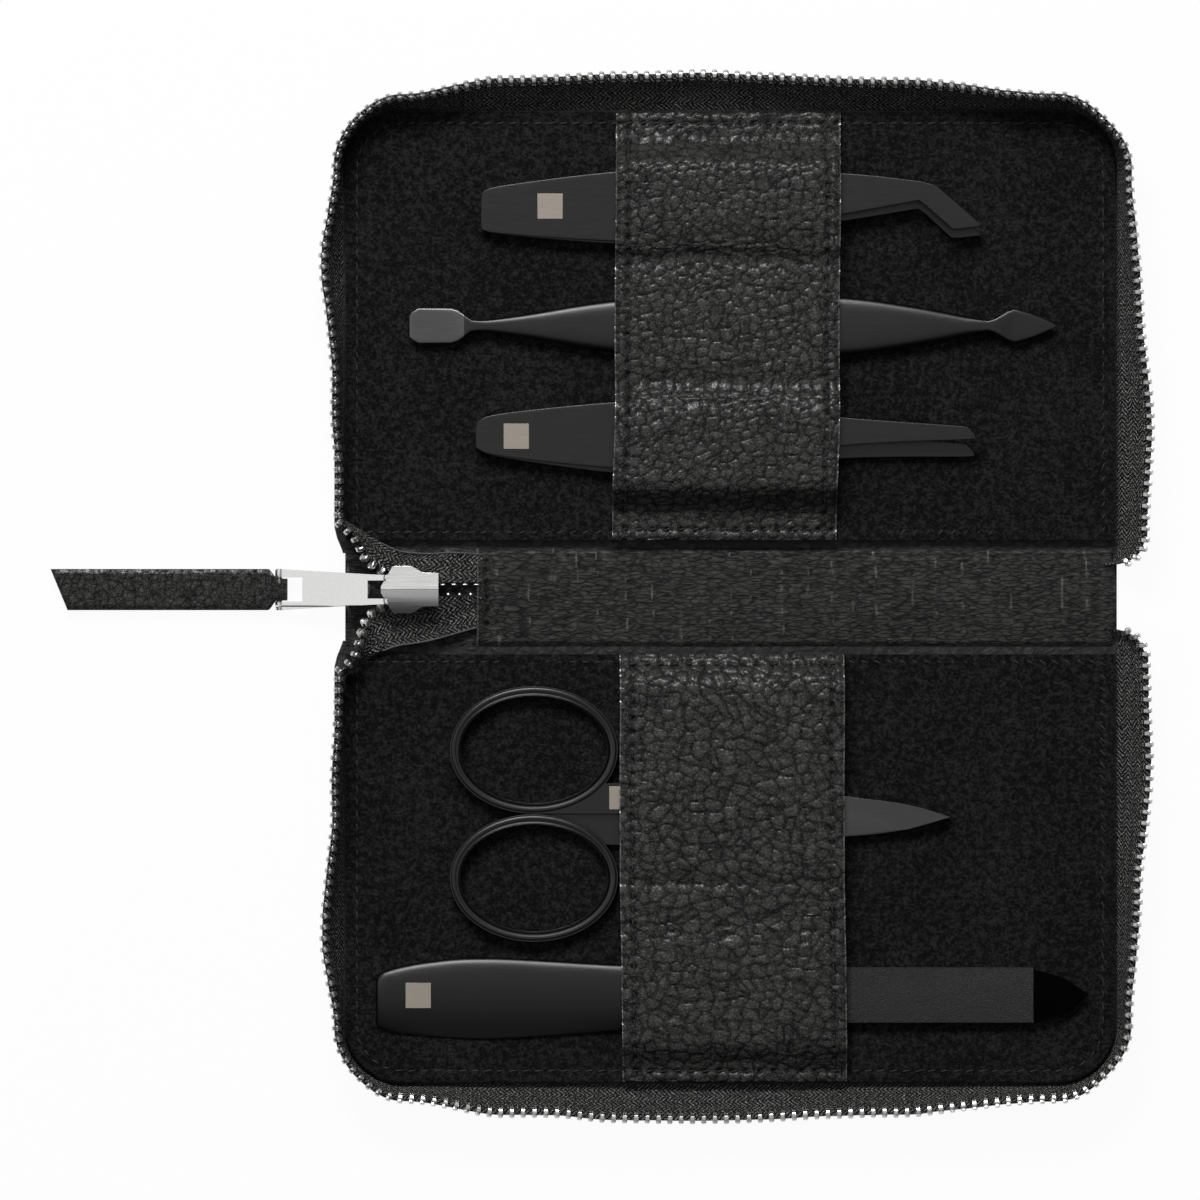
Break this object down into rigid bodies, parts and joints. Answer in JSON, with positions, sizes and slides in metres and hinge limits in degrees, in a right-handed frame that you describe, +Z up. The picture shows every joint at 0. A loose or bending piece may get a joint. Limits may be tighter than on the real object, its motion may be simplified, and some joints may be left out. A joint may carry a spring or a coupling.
{
  "type": "manicure set case",
  "caption": "Zip-round black leather manicure case lying open and flat, with bent and slanted tweezers, a cuticle pusher, nail scissors and a nail file held under two leather straps.",
  "frame": {"origin": "on the surface that the open case lies on, under the middle of its whole outline, pull included", "axes": "+X along the spine, away from the zip pull; +Y towards the upper cover; +Z up out of the covers"},
  "size_m": [0.201, 0.1924, 0.0105],
  "materials": {
    "black_leather": "pebbled, satin",
    "black_suede": "suede, matt",
    "stiffener": "plain board",
    "zip_tape": "woven herringbone",
    "zip_metal": "polished",
    "pull_metal": "satin",
    "black_steel": "brushed, coated black, satin",
    "badge": "satin, plain"
  },
  "bodies": {
    "spine": {"spine_leather": "black_leather", "spine_lining": "black_leather", "upper_tape_bridge": "zip_tape", "lower_tape_bridge": "zip_tape", "bridge_teeth": "zip_metal", "zip_start_teeth": "zip_metal"},
    "upper_cover": {"upper_leather": "black_leather", "upper_board": "stiffener", "upper_lining": "black_suede", "upper_strap": "black_leather", "upper_zip_tape": "zip_tape", "upper_zip_teeth": "zip_metal"},
    "lower_cover": {"lower_leather": "black_leather", "lower_board": "stiffener", "lower_lining": "black_suede", "lower_strap": "black_leather", "lower_zip_tape": "zip_tape", "lower_zip_teeth": "zip_metal"},
    "slider": {"slider_body": "zip_metal", "slider_bridge": "zip_metal"},
    "pull": {"metal_pull": "pull_metal"},
    "pull_strip": {"leather_pull": "black_leather"},
    "bent_tweezers": {"bent_tweezers_lower_arm": "black_steel"},
    "bent_tweezers_arm": {"bent_tweezers_upper_arm": "black_steel", "bent_tweezers_badge": "badge"},
    "slant_tweezers": {"slant_tweezers_lower_arm": "black_steel"},
    "slant_tweezers_arm": {"slant_tweezers_upper_arm": "black_steel", "slant_tweezers_badge": "badge"},
    "pusher": {"cuticle_pusher": "black_steel"},
    "scissors": {"scissors_lower_half": "black_steel", "scissors_pivot": "black_steel"},
    "scissors_arm": {"scissors_upper_half": "black_steel", "scissors_badge": "badge"},
    "file": {"file_handle": "black_steel", "file_blade": "black_steel", "file_badge": "badge"}
  },
  "joints": [
    {"name": "upper_fold", "type": "hinge", "parent": "spine", "child": "upper_cover", "pos_m": [0.02325, 0.0094, 0.0012], "axis": [1, 0, 0], "range_deg": [0, 90], "deforming": ["upper_tape_bridge", "bridge_teeth"]},
    {"name": "lower_fold", "type": "hinge", "parent": "spine", "child": "lower_cover", "pos_m": [0.02325, -0.0094, 0.0012], "axis": [-1, 0, 0], "range_deg": [0, 90], "deforming": ["lower_tape_bridge"]},
    {"name": "slider_run", "type": "slide", "parent": "spine", "child": "slider", "axis": [1, 0, 0], "range_m": [0, 0.003]},
    {"name": "pull_swing", "type": "hinge", "parent": "slider", "child": "pull", "pos_m": [-0.0391, 0.00135, 0.0072], "axis": [0, -1, 0], "range_deg": [-60, 0]},
    {"name": "strip_swing", "type": "hinge", "parent": "pull", "child": "pull_strip", "pos_m": [-0.05881, 0.00135, 0.00192], "axis": [0, 1, 0], "range_deg": [-60, 60]},
    {"name": "bent_tweezers_draw", "type": "slide", "parent": "upper_cover", "child": "bent_tweezers", "axis": [-1, 0, 0], "range_m": [0, 0.02]},
    {"name": "bent_tweezers_squeeze", "type": "hinge", "parent": "bent_tweezers", "child": "bent_tweezers_arm", "pos_m": [-0.02105, 0.0701, 0.00432], "axis": [0, 1, 0], "range_deg": [0, 1.45], "stiffness_Nm_per_rad": 2},
    {"name": "slant_tweezers_draw", "type": "slide", "parent": "upper_cover", "child": "slant_tweezers", "axis": [-1, 0, 0], "range_m": [0, 0.02]},
    {"name": "slant_tweezers_squeeze", "type": "hinge", "parent": "slant_tweezers", "child": "slant_tweezers_arm", "pos_m": [-0.022, 0.0292, 0.00432], "axis": [0, 1, 0], "range_deg": [0, 1.45], "stiffness_Nm_per_rad": 2},
    {"name": "pusher_draw", "type": "slide", "parent": "upper_cover", "child": "pusher", "axis": [-1, 0, 0], "range_m": [-0.008, 0.009]},
    {"name": "scissors_draw", "type": "slide", "parent": "lower_cover", "child": "scissors", "axis": [-1, 0, 0], "range_m": [0, 0.015]},
    {"name": "scissors_open", "type": "hinge", "parent": "scissors", "child": "scissors_arm", "pos_m": [0.02235, -0.04, 0.00305], "axis": [0, 0, -1], "range_deg": [0, 10]},
    {"name": "file_draw", "type": "slide", "parent": "lower_cover", "child": "file", "axis": [-1, 0, 0], "range_m": [-0.003, 0.004]}
  ]
}
